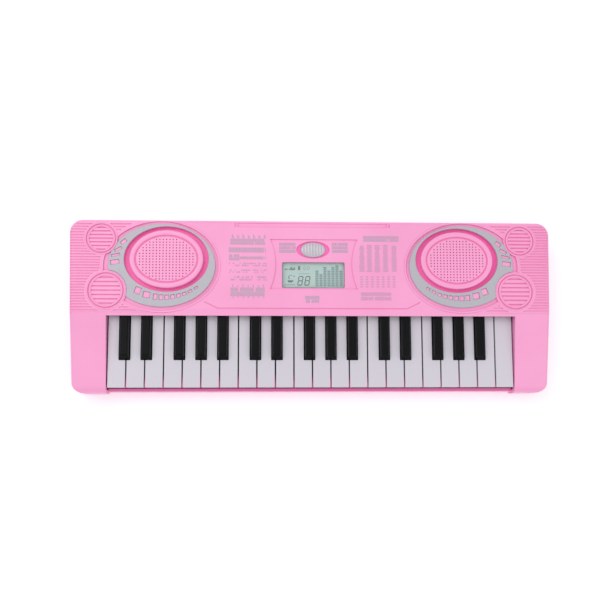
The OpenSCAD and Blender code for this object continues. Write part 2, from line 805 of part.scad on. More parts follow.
module battery_door() {
    plate_top = floor_z + 1.5;
    color(pink) {
        difference() {
            block(-57, 57, bay_y0 - 2, bay_y1 + 2, floor_z + 0.1, plate_top);
            for (i = [0:5])
                block(-14, 14, bay_y0 + 1 + 1.8 * i, bay_y0 + 1.8 + 1.8 * i, 0, floor_z + 0.6);
        }
        both_sides() for (y = hook_starts) {
            block(51.3, 52.7, y, y + hook_l, plate_top - eps, floor_top + 1.3);
            block(51.3, 55.2, y, y + hook_l, floor_top + 0.1, floor_top + 1.3);
        }
    }
}

// Plate and cone spring contacts at both ends of the battery bay
module battery_contacts() {
    color(steel) both_sides() for (y = cell_rows) {
        block(bay_half_w - 1, bay_half_w - 0.5, y - 5, y + 5, 7, 17.5);
        difference() {
            translate([bay_half_w - 4.8, y, cell_z]) rotate([0, 90, 0])
                cylinder(r1 = 2.6, r2 = 4.2, h = 3.9, $fn = 40);
            translate([bay_half_w - 4.9, y, cell_z]) rotate([0, 90, 0])
                cylinder(r1 = 1.9, r2 = 3.5, h = 4, $fn = 40);
        }
    }
}

// Four size AA cells in two rows
module batteries() {
    color([0.85, 0.55, 0.2]) both_sides() for (y = cell_rows)
        translate([0.2, y, cell_z]) rotate([0, 90, 0]) cylinder(r = cell_r, h = cell_l, $fn = 48);
}

module rubber_feet() {
    color(jet) both_sides() for (p = foot_places) disc(p[0], p[1], 6, 0, floor_z + 0.58);
}

module casing_screws() {
    color(steel) both_sides() for (p = screw_places) difference() {
        union() {
            disc(p[0], p[1], 2.8, 12.2, 13.98);
            disc(p[0], p[1], 1.2, 13, 25);
        }
        for (turn = [0, 90])
            translate([p[0], p[1], 12.2]) rotate([0, 0, turn]) cube([3.6, 0.8, 1.6], center = true);
    }
}

// Screws that hold the main board to the panel posts
module inner_screws() {
    color(steel) for (x = [-54, 54]) for (y = [22, 56]) {
        disc(x, y, 2.2, main_board_z - 1.3, main_board_z - 0.02);
        disc(x, y, 0.9, main_board_z - 1, 33);
    }
}

top_casing();
bottom_casing();
for (i = [0:white_count - 1])
    white_key(i);
for (n = [0:14])
    black_key(n);
key_hinge_rod();
key_contact_board();
rubber_contact_strip();
mirror([1, 0, 0]) speaker_grille();  // speaker_grille_left
speaker_grille();  // speaker_grille_right
mirror([1, 0, 0]) speaker_trim();  // speaker_trim_left
speaker_trim();  // speaker_trim_right
mirror([1, 0, 0]) speaker_driver();  // speaker_left
speaker_driver();  // speaker_right
power_slider();
display_window();
display_card();
main_circuit_board();
wiring();
microphone_jack();
battery_door();
battery_contacts();
batteries();
rubber_feet();
casing_screws();
inner_screws();
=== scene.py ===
import math
import random

import bpy
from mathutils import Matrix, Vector
from mathutils.geometry import delaunay_2d_cdt


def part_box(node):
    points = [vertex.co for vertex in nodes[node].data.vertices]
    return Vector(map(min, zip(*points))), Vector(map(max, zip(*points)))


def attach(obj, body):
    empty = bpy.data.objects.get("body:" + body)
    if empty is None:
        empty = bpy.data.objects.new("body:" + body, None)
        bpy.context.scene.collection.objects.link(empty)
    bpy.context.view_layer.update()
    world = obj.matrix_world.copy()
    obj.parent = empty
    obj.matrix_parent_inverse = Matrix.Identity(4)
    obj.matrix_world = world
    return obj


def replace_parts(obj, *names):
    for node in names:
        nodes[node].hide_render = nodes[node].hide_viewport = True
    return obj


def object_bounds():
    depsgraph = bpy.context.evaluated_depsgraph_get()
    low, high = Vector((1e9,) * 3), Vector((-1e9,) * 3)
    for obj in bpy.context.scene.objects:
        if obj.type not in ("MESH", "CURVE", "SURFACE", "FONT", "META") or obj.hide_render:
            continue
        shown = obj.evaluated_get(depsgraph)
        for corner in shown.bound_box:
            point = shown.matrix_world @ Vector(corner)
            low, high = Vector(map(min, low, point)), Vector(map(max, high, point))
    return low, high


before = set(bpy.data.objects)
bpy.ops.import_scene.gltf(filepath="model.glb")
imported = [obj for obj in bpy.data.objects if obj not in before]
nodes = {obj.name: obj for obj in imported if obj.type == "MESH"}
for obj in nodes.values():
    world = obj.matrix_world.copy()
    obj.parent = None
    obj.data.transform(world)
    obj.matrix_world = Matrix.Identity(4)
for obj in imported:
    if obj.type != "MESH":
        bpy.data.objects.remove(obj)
cad_lo, cad_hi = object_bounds()
MM = 0.001
WHITE_KEYS = [f"white_key_{i:02d}" for i in range(1, 23)]
BLACK_KEYS = [f"black_key_{i:02d}" for i in range(1, 16)]

# Heights, places and reaches that no node's box gives, in millimetres
PANEL_TOP = 37.0
RECESS_TOP = 36.0
SLIDER_FLOOR = 35.1
FLOOR_THICKNESS = 2.3
# reach, rear edge and heights of the painted shade on the key bed
BED_REACH = 3.1
BED_REAR_Y = -8.7
BED_Z = (3.5, 27.5)
# heights of the painted bounce light in the speaker wells and the slider pocket
WELL_Z = (32.0, 36.6)
POCKET_Z = (33.0, 35.8)
# half the width of the painted shade line at the shells' joint
SEAM_SHADE_HALF_WIDTH = 0.16

# How far the ambient occlusion looks, in metres, for the painted shade that deepens the colour in grooves
GROOVE_SHADE_REACH = 0.004


# ---------- colours and materials ----------

def linear(*rgb):
    """An sRGB colour given as 0 to 255, as the linear colour the shaders take."""
    out = []
    for v in rgb:
        c = v / 255
        out.append(c / 12.92 if c <= 0.04045 else ((c + 0.055) / 1.055) ** 2.4)
    return (*out, 1.0)


def shade(colour, factor):
    return (*[min(1.0, c * factor) for c in colour[:3]], 1.0)


class Graph:
    """A material's nodes, with short calls for the parts that every finish here uses."""

    def __init__(self, name):
        self.material = bpy.data.materials.new(name)
        self.material.use_nodes = True
        self.tree = self.material.node_tree
        self.shader = self.tree.nodes["Principled BSDF"]
        self.place = self.node("ShaderNodeTexCoord").outputs["Object"]

    def node(self, kind, **values):
        n = self.tree.nodes.new(kind)
        for key, value in values.items():
            setattr(n, key, value)
        return n

    def link(self, a, b):
        self.tree.links.new(a, b)

    def noise(self, per_metre, detail=2.0, rough=0.5, stretch=None):
        n = self.node("ShaderNodeTexNoise")
        n.inputs["Scale"].default_value = per_metre
        n.inputs["Detail"].default_value = detail
        n.inputs["Roughness"].default_value = rough
        place = self.place
        if stretch:
            m = self.node("ShaderNodeMapping")
            m.inputs["Scale"].default_value = stretch
            self.link(place, m.inputs["Vector"])
            place = m.outputs["Vector"]
        self.link(place, n.inputs["Vector"])
        return n.outputs["Fac"]

    def ramp(self, value, low, high, start=0.3, end=0.7):
        m = self.node("ShaderNodeMapRange")
        m.inputs["From Min"].default_value = start
        m.inputs["From Max"].default_value = end
        m.inputs["To Min"].default_value = low
        m.inputs["To Max"].default_value = high
        self.link(value, m.inputs["Value"])
        return m.outputs["Result"]

    def beyond(self, distance, blur):
        """0 within a distance of the middle plane x = 0 and 1 beyond it, on both sides."""
        split = self.node("ShaderNodeSeparateXYZ")
        self.link(self.place, split.inputs["Vector"])
        side = self.node("ShaderNodeMath", operation="ABSOLUTE")
        self.link(split.outputs["X"], side.inputs[0])
        return self.ramp(side.outputs[0], 0.0, 1.0, distance - blur, distance + blur)

    def mix(self, value, a, b):
        """Colour a where value is 0 and b where it is 1; the node's sockets 6, 7 and 2 are its colours."""
        m = self.node("ShaderNodeMix", data_type="RGBA")
        self.link(value, m.inputs[0])
        for socket, colour in ((m.inputs[6], a), (m.inputs[7], b)):
            if isinstance(colour, tuple):
                socket.default_value = colour
            else:
                self.link(colour, socket)
        return m.outputs[2]

    def openness(self, start, end):
        """0 deep in a groove and 1 in the open, by ambient occlusion; it masks the painted groove shade."""
        ao = self.node("ShaderNodeAmbientOcclusion", samples=6, only_local=True)
        ao.inputs["Distance"].default_value = GROOVE_SHADE_REACH
        return self.ramp(ao.outputs["AO"], 0.0, 1.0, start, end)

    def bump(self, value, depth, edge=0.0):
        b = self.node("ShaderNodeBump")
        b.inputs["Strength"].default_value = 1.0
        b.inputs["Distance"].default_value = depth
        self.link(value, b.inputs["Height"])
        if edge:
            e = self.node("ShaderNodeBevel", samples=4)
            e.inputs["Radius"].default_value = edge
            self.link(e.outputs["Normal"], b.inputs["Normal"])
        self.link(b.outputs["Normal"], self.shader.inputs["Normal"])

    def put(self, socket, value):
        if isinstance(value, (int, float, tuple)):
            self.shader.inputs[socket].default_value = value
        else:
            self.link(value, self.shader.inputs[socket])


def moulded(name, colour, rough=(0.32, 0.42), grain=2600, depth=0.000012, spread=0.03, edge=0.0,
            groove_shade=None, opened=0.9, **sockets):
    """Injection-moulded plastic: slow colour drift, fine spark grain, uneven gloss and softened edges.

    The colour given for grooves is painted shade; it fades out where the surface is as open as opened says.
    """
    g = Graph(name)
    drift = g.noise(22, 3.0)
    body = g.mix(g.ramp(drift, 0.0, 1.0), shade(colour, 1 - spread), shade(colour, 1 + spread))
    if groove_shade:
        # painted shade: the groove colour takes over from the body colour deep in grooves
        body = g.mix(g.openness(0.3, opened), groove_shade, body)
    g.put("Base Color", body)
    g.put("Roughness", g.ramp(g.noise(140, 3.0, 0.6), *rough))
    g.bump(g.noise(grain, 1.5, 0.6), depth, edge)
    for key, value in sockets.items():
        g.put(key.replace("_", " "), value)
    return g.material


# painted shade: a hot pink colour in the speaker discs' grooves and holes
pink_disc = moulded("pink_disc_plastic", linear(253, 166, 213), rough=(0.28, 0.36), spread=0.015, edge=0.0002,
                    groove_shade=linear(246, 108, 176))
# painted light: hot pink for the glow seen deep in the gaps between the keys' front ends
gap_glow_pink = moulded("gap_glow_pink_plastic", linear(255, 92, 172), spread=0.015)
ivory = moulded("ivory_plastic", linear(214, 209, 219), rough=(0.32, 0.36), depth=0.000002, spread=0.005,
                edge=0.0003)
jet = moulded("jet_plastic", linear(13, 14, 16), rough=(0.34, 0.42), grain=3200, depth=0.000008, spread=0.08,
              edge=0.0004, Specular_IOR_Level=0.1)
black_board = moulded("black_board", linear(34, 33, 36), rough=(0.5, 0.65), spread=0.1)
rubber = moulded("grey_rubber", linear(48, 47, 50), rough=(0.7, 0.85), grain=1800, depth=0.00003, spread=0.1)
clear = moulded("clear_window", linear(240, 248, 246), rough=(0.05, 0.09), depth=0.000001, spread=0.0,
                Alpha=0.1)
# painted shade: a darker grey in the grooves of the silver slider cap
frost = moulded("light_silver_plastic", linear(206, 201, 209), rough=(0.28, 0.38), spread=0.03, Metallic=0.15,
                edge=0.0003, groove_shade=linear(150, 144, 154), opened=0.95)


def casing_pink():
    """The casing's pink, with painted shade: deeper in grooves, hot pink in the key bed and a dark line at the
    shells' joint; and painted bounce light, hot pink, in the speaker wells and slider pocket.
    """
    g = Graph("pink_plastic")
    drift = g.noise(22, 3.0)
    body = g.mix(g.ramp(drift, 0.0, 1.0), linear(251, 162, 210), linear(255, 170, 216))
    # painted shade: deeper pink in grooves, by ambient occlusion
    body = g.mix(g.openness(0.25, 0.72), linear(251, 122, 190), body)
    place = g.node("ShaderNodeSeparateXYZ")
    g.link(g.place, place.inputs["Vector"])
    x, y, z = (place.outputs[i] for i in range(3))

    def math_node(operation, a, b=0.0, c=0.0):
        m = g.node("ShaderNodeMath", operation=operation)
        for socket, value in zip(m.inputs, (a, b, c)):
            if isinstance(value, float):
                socket.default_value = value
            else:
                g.link(value, socket)
        return m.outputs[0]

    def between(value, low, high):
        return math_node("COMPARE", value, (low + high) / 2, (high - low) / 2)

    def within_oval(across, name, grow_x, grow_y):
        """Inside the oval of a node's box, grown by so much; across is x, or its size to do both sides."""
        lo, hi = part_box(name)
        cx, cy = (lo[0] + hi[0]) / 2, (lo[1] + hi[1]) / 2
        a, b = (hi[0] - lo[0]) / 2 + grow_x, (hi[1] - lo[1]) / 2 + grow_y
        u = math_node("POWER", math_node("MULTIPLY_ADD", across, 1 / a, -cx / a), 2.0)
        v = math_node("POWER", math_node("MULTIPLY_ADD", y, 1 / b, -cy / b), 2.0)
        return math_node("LESS_THAN", math_node("ADD", u, v), 1.0)

    side = math_node("ABSOLUTE", x)
    # masks for the painted bounce light in the speaker wells and the slider pocket
    well = math_node("MULTIPLY", within_oval(side, "speaker_grille_right", 0.0047, 0.0032),
                     between(z, WELL_Z[0] * MM, WELL_Z[1] * MM))
    pocket = math_node("MULTIPLY", within_oval(x, "power_slider", 0.0038, 0.001),
                       between(z, POCKET_Z[0] * MM, POCKET_Z[1] * MM))
    key_front, keys_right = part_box(WHITE_KEYS[0])[0][1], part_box(WHITE_KEYS[-1])[1][0]
    # mask for the painted shade over the key bed and the lip in front of the keys
    bed_y = between(y, key_front - BED_REACH * MM, BED_REAR_Y * MM)
    bed_z = between(z, BED_Z[0] * MM, BED_Z[1] * MM)
    bed = math_node("MULTIPLY", math_node("LESS_THAN", side, keys_right + 0.0002),
                    math_node("MULTIPLY", bed_y, bed_z))
    # painted shade: a dark line at the joint between the two shells, on their upright faces only
    facing = g.node("ShaderNodeSeparateXYZ")
    g.link(g.node("ShaderNodeNewGeometry").outputs["Normal"], facing.inputs["Vector"])
    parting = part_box("top_casing")[0][2]
    seam_shade = math_node("MULTIPLY", math_node("COMPARE", z, parting, SEAM_SHADE_HALF_WIDTH * MM),
                     math_node("LESS_THAN", math_node("ABSOLUTE", facing.outputs[2]), 0.5))
    # painted shade: the dark line at the shells' joint
    body = g.mix(seam_shade, body, linear(186, 88, 140))
    # painted shade: a deeper hot pink over the key bed and the lip in front of the keys
    body = g.mix(bed, body, linear(230, 114, 170))
    # painted bounce light: hot pink in the speaker wells and the slider pocket
    g.put("Base Color", g.mix(math_node("MAXIMUM", well, pocket), body, linear(255, 116, 194)))
    g.put("Roughness", g.ramp(g.noise(140, 3.0, 0.6), 0.32, 0.42))
    g.bump(g.noise(2600, 1.5, 0.6), 0.000012, 0.0004)
    return g.material


def silver_paint():
    """Sprayed silver: flakes that catch the light one by one, over a smooth coat."""
    g = Graph("silver_paint")
    flake = g.node("ShaderNodeTexVoronoi")
    flake.inputs["Scale"].default_value = 5200
    g.link(g.place, flake.inputs["Vector"])
    cell = g.node("ShaderNodeSeparateColor")
    g.link(flake.outputs["Color"], cell.inputs["Color"])
    base = linear(187, 186, 194)
    g.put("Base Color", g.mix(cell.outputs["Red"], shade(base, 0.9), shade(base, 1.1)))
    g.put("Metallic", 0.12)
    g.put("Roughness", g.ramp(g.noise(160, 3.0), 0.4, 0.5))
    g.put("Specular IOR Level", 0.35)
    g.bump(flake.outputs["Distance"], 0.000004, 0.0003)
    return g.material


def steel_metal():
    """Bright steel with drawn lines along X."""
    g = Graph("steel")
    g.put("Base Color", g.mix(g.noise(300, 4.0), linear(168, 168, 172), linear(205, 204, 208)))
    g.put("Metallic", 1.0)
    g.put("Roughness", g.ramp(g.noise(900, 2.0), 0.22, 0.4))
    g.bump(g.noise(2500, 2.0, 0.5, (0.05, 1, 1)), 0.000008)
    return g.material


def green_board_resist():
    """Solder resist over copper tracks, which run straight and turn at right angles."""
    g = Graph("green_board")
    brick = g.node("ShaderNodeTexBrick")
    brick.inputs["Scale"].default_value = 90
    brick.inputs["Mortar Size"].default_value = 0.03
    g.link(g.place, brick.inputs["Vector"])
    g.put("Base Color", g.mix(brick.outputs["Fac"], linear(34, 104, 66), linear(58, 138, 88)))
    g.put("Roughness", g.ramp(g.noise(400, 2.0), 0.3, 0.45))
    g.bump(brick.outputs["Fac"], 0.00002)
    return g.material


def wire_sleeve():
    """Insulation: red leads to the speakers, black leads to the contact board in the middle."""
    g = Graph("wire_insulation")
    g.put("Base Color", g.mix(g.beyond(0.06, 0.0005), linear(36, 36, 40), linear(190, 38, 44)))
    g.put("Roughness", g.ramp(g.noise(500, 2.0), 0.38, 0.5))
    g.bump(g.noise(1500, 2.0), 0.00001)
    return g.material


def speaker_paper():
    """Fibrous dark paper of the cones."""
    g = Graph("speaker_paper")
    g.put("Base Color", g.mix(g.noise(700, 5.0, 0.7), linear(38, 38, 42), linear(66, 64, 68)))
    g.put("Roughness", g.ramp(g.noise(300, 2.0), 0.75, 0.9))
    g.bump(g.noise(2200, 4.0, 0.7), 0.00005)
    return g.material


def battery_sleeve():
    """Printed foil: a copper-coloured end band and a dark body."""
    g = Graph("battery_sleeve")
    g.put("Base Color", g.mix(g.beyond(0.0356, 0.0001), linear(32, 34, 40), linear(206, 138, 70)))
    g.put("Metallic", 0.4)
    g.put("Roughness", g.ramp(g.noise(500, 2.0), 0.25, 0.35))
    g.bump(g.noise(900, 2.0), 0.00001)
    return g.material


def ink(name, colour):
    """Pad-printed ink, a little uneven where it lies on the moulded grain."""
    g = Graph(name)
    g.put("Base Color", g.mix(g.noise(500, 3.0), shade(colour, 0.95), shade(colour, 1.05)))
    g.put("Roughness", g.ramp(g.noise(700, 2.0), 0.4, 0.55))
    g.bump(g.noise(2600, 1.5), 0.000008)
    return g.material


def card_material():
    """Reflective film of the printed display, faintly mottled."""
    g = Graph("display_film")
    g.put("Base Color", g.mix(g.noise(180, 4.0, 0.6), linear(176, 203, 197), linear(186, 212, 205)))
    g.put("Roughness", g.ramp(g.noise(600, 2.0), 0.5, 0.6))
    g.bump(g.noise(3000, 2.0), 0.000005)
    return g.material


pink = casing_pink()
silver = silver_paint()
steel = steel_metal()
print_ink = ink("panel_ink", linear(197, 163, 189))
faint_ink = ink("faint_panel_ink", linear(212, 157, 192))
segment_ink = ink("segment_ink", linear(102, 136, 144))
segment_dark = ink("segment_dark_ink", linear(62, 84, 88))
frame_ink = ink("frame_ink", linear(142, 140, 146))
film = card_material()


# ---------- carried CAD nodes ----------

def soften(o, width, angle):
    """Rounds a CAD node's edges sharper than an angle by a small real radius, leaving its own mesh alone."""
    weld = o.modifiers.new("weld", "WELD")
    weld.merge_threshold = 0.000002
    flat = o.modifiers.new("flat", "DECIMATE")
    flat.decimate_type = "DISSOLVE"
    flat.angle_limit = math.radians(0.5)
    bevel = o.modifiers.new("bevel", "BEVEL")
    bevel.width = width
    bevel.segments = 2
    bevel.limit_method = "ANGLE"
    bevel.angle_limit = math.radians(angle)
    bevel.harden_normals = True
    bevel.miter_outer = "MITER_ARC"


finishes = {
    "top_casing": pink, "bottom_casing": pink, "battery_door": pink, "key_hinge_rod": steel,
    "key_contact_board": black_board, "rubber_contact_strip": rubber, "speaker_trim_left": silver,
    "speaker_trim_right": silver, "speaker_left": speaker_paper(), "power_slider": frost,
    "display_window": clear, "display_card": film, "main_circuit_board": green_board_resist(),
    "wiring": wire_sleeve(), "microphone_jack": black_board, "battery_contacts": steel,
    "batteries": battery_sleeve(), "rubber_feet": rubber, "casing_screws": steel, "inner_screws": steel,
    "speaker_grille_left": pink_disc, "speaker_grille_right": pink_disc,
}
finishes["speaker_right"] = finishes["speaker_left"]
finishes.update({k: ivory for k in WHITE_KEYS})
finishes.update({k: jet for k in BLACK_KEYS})
for node_name, node_material in finishes.items():
    for material_slot in nodes[node_name].material_slots:
        material_slot.material = node_material
for key in WHITE_KEYS:
    soften(nodes[key], 0.3 * MM, 28)
for key in BLACK_KEYS:
    soften(nodes[key], 0.35 * MM, 40)
for trim in ("speaker_trim_left", "speaker_trim_right"):
    soften(nodes[trim], 0.22 * MM, 50)


# ---------- mesh helpers ----------

def piece(name, verts, faces, material, body, smooth=None):
    """A new mesh in millimetres that rides on a body; edges up to the angle smooth are shaded round."""
    mesh = bpy.data.meshes.new(name)
    mesh.from_pydata([Vector(v) * MM for v in verts], [], faces)
    mesh.validate()
    o = bpy.data.objects.new(name, mesh)
    bpy.context.scene.collection.objects.link(o)
    mesh.materials.append(material)
    if smooth is not None:
        mesh.shade_smooth()
        mesh.set_sharp_from_angle(angle=math.radians(smooth))
    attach(o, body)
    return o


class Shapes:
    """Vertices and faces of one piece, gathered shape by shape."""

    def __init__(self):
        self.verts = []
        self.faces = []

    def prism(self, outline, z0, z1):
        """Upright prism over an anticlockwise outline."""
        first, n = len(self.verts), len(outline)
        self.verts += [(x, y, z0) for x, y in outline] + [(x, y, z1) for x, y in outline]
        self.faces.append([first + i for i in reversed(range(n))])
        self.faces.append([first + n + i for i in range(n)])
        for i in range(n):
            j = (i + 1) % n
            self.faces.append([first + i, first + j, first + n + j, first + n + i])

    def bar(self, x0, y0, x1, y1, z, height=0.05, lean=0.0):
        """Flat mark on a surface at height z; lean moves its top edge sideways."""
        self.prism([(x0, y0), (x1, y0), (x1 + lean, y1), (x0 + lean, y1)], z, z + height)

    def loft(self, rings, closed_start=False, closed_end=False):
        """Skin through rings of equally many points, anticlockwise seen from the last ring's side."""
        first, n = len(self.verts), len(rings[0])
        for ring in rings:
            self.verts += ring
        for k in range(len(rings) - 1):
            for i in range(n):
                j = (i + 1) % n
                a, b = first + k * n, first + (k + 1) * n
                self.faces.append([a + i, a + j, b + j, b + i])
        if closed_start:
            self.faces.append([first + i for i in reversed(range(n))])
        if closed_end:
            last = first + (len(rings) - 1) * n
            self.faces.append([last + i for i in range(n)])

    def make(self, name, material, body, slot, smooth=None):
        return piece(name, self.verts, self.faces, material, body, smooth)


def oval(cx, cy, a, b, z, n=128):
    turns = [2 * math.pi * i / n for i in range(n)]
    return [(cx + a * math.cos(t), cy + b * math.sin(t), z) for t in turns]


def middle_and_half(name):
    """The centre and half-sides of a node's box seen from above, and its lowest and highest point, in mm."""
    lo, hi = (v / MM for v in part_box(name))
    return (lo[0] + hi[0]) / 2, (lo[1] + hi[1]) / 2, (hi[0] - lo[0]) / 2, (hi[1] - lo[1]) / 2, lo[2], hi[2]


# ---------- speaker discs ----------

HOLE_R = 0.56
HOLE_DEPTH = 1.2
HOLE_PITCH = (2.84, 2.46)
HOLE_SIDES = 12


def speaker_disc(name):
    """Crowned rim, ring groove and a perforated centre, standing in the sound well."""
    cx, cy, a, b, foot, top = middle_and_half(name)
    s = Shapes()
    # rim profile: distance in from the outline, and height
    rim = [(0.0, foot), (0.0, top - 0.9), (0.06, top - 0.5), (0.25, top - 0.2), (0.6, top), (1.2, top + 0.1),
           (2.4, top + 0.12), (3.5, top + 0.05), (4.1, top - 0.15), (4.35, top - 0.5), (4.5, top - 1.1),
           (5.2, top - 1.15), (5.4, top - 0.55), (5.7, top - 0.28), (6.1, top - 0.2)]
    s.loft([oval(cx, cy, a - d, b - d, z) for d, z in rim])
    inset, rim_end = rim[-1]
    inner_a, inner_b = a - inset, b - inset

    def crown(x, y):
        r = ((x - cx) / inner_a) ** 2 + ((y - cy) / inner_b) ** 2
        return rim_end + 0.25 * (1 - min(1.0, r))

    # the centre plate: a triangulation between its outline and the holes
    points, edges = [], []

    def ring(pts):
        first, n = len(points), len(pts)
        points.extend(Vector((x, y)) for x, y, _ in pts)
        edges.extend((first + i, first + (i + 1) % n) for i in range(n))

    ring(oval(cx, cy, inner_a, inner_b, 0))
    holes = []
    for i in range(-8, 9):
        for j in range(-7, 8):
            if (i / 8.5) ** 2 + (j / 7.5) ** 2 < 1:
                holes.append((cx + i * HOLE_PITCH[0], cy - 0.3 + j * HOLE_PITCH[1]))
    for hx, hy in holes:
        ring(oval(hx, hy, HOLE_R, HOLE_R, 0, HOLE_SIDES))
    flat, _, tris, _, _, _ = delaunay_2d_cdt(points, edges, [], 2, 1e-5)
    first = len(s.verts)
    s.verts += [(p.x, p.y, crown(p.x, p.y)) for p in flat]
    # the triangles that fill the holes' mouths are left out, and the others are turned to face up
    for t in tris:
        p, q, r = (flat[i] for i in t)
        middle = (p + q + r) / 3
        if any((middle.x - hx) ** 2 + (middle.y - hy) ** 2 < 0.2 for hx, hy in holes):
            continue
        order = t if (q - p).cross(r - p) > 0 else t[::-1]
        s.faces.append([first + i for i in order])
    for hx, hy in holes:
        mouth = crown(hx, hy)
        wall = [oval(hx, hy, HOLE_R, HOLE_R, z, HOLE_SIDES) for z in (mouth, mouth - HOLE_DEPTH)]
        s.loft(wall, closed_end=True)
    skirt = [oval(cx, cy, a - 2, b - 2, z) for z in (foot, top - 2.2)]
    s.loft(skirt)
    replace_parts(s.make(name + "_disc", pink_disc, "casing", "pink_plastic", 35), name)


speaker_disc("speaker_grille_right")
speaker_disc("speaker_grille_left")


# ---------- key bed ----------

def front_rail():
    """Rail along the inside of the front lip, level with it, that closes the gap before the white keys."""
    key_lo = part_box(WHITE_KEYS[0])[0] / MM
    key_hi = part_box(WHITE_KEYS[-1])[1] / MM
    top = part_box("top_casing")[0][2] / MM - 0.02
    back, front = key_lo[1] - 0.6, key_lo[1] - 1.9
    section = [(front, top - 6), (back, top - 6), (back, top - 0.15), (back - 0.15, top), (front, top)]
    s = Shapes()
    s.loft([[(x, y, z) for y, z in section] for x in (key_lo[0], key_hi[0])], True, True)
    s.make("front_rail", pink, "casing", "pink_plastic")


front_rail()


def gap_glow_fins():
    """Thin hot pink fins that stand on the floor between the white keys' front ends; they are painted light,
    for the pink glow seen deep in the key gaps.
    """
    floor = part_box("bottom_casing")[0][2] / MM + FLOOR_THICKNESS
    lo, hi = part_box(WHITE_KEYS[0])
    front, top, half = lo[1] / MM + 0.1, hi[2] / MM - 2.0, 0.4
    side_view = [(front, floor), (front + 12, floor), (front + 12, top - 7), (front + 9, top - 2.6),
                 (front + 6, top - 0.8), (front + 3, top), (front, top)]
    s = Shapes()
    for left, right in zip(WHITE_KEYS, WHITE_KEYS[1:]):
        x = (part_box(left)[1][0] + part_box(right)[0][0]) / 2 / MM
        s.loft([[(x + d, y, z) for y, z in side_view] for d in (-half, half)], True, True)
    s.make("gap_glow_fins", gap_glow_pink, "casing", "pink_plastic")


gap_glow_fins()


# ---------- power slider ----------

def slider_cap():
    """Crowned oval cap with finger ridges, on the stem that works the switch."""
    cx, cy, a, b, low, top = middle_and_half("power_slider")
    brim, crown = SLIDER_FLOOR + 0.5, top + 0.2
    flute_pitch, flute_depth = 2.6, 0.5
    around, steps = 240, 26
    s = Shapes()
    rings = [oval(cx, cy, a, b, SLIDER_FLOOR, around)]
    for k in range(steps + 1):
        f = 1 - k / steps
        rise = math.sqrt(max(0.0, 1 - f ** 2.6))
        ring = []
        for x, y, _ in oval(0, 0, a * f, b * f, 0, around):
            flute = 0.5 + 0.5 * math.cos(2 * math.pi * x / flute_pitch)
            depth = flute_depth * flute ** 3 * min(1.0, rise * 1.6)
            ring.append((cx + x, cy + y, brim + (crown - brim) * rise - depth))
        rings.append(ring)
    s.loft(rings, closed_start=True)
    stem_a, stem_b = 2.5, 1.6
    s.prism([(cx - stem_a, cy - stem_b), (cx + stem_a, cy - stem_b), (cx + stem_a, cy + stem_b),
             (cx - stem_a, cy + stem_b)], low, SLIDER_FLOOR)
    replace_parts(s.make("power_slider_cap", frost, "power_slider", "light_silver_plastic", 40), "power_slider")


slider_cap()


# ---------- display ----------

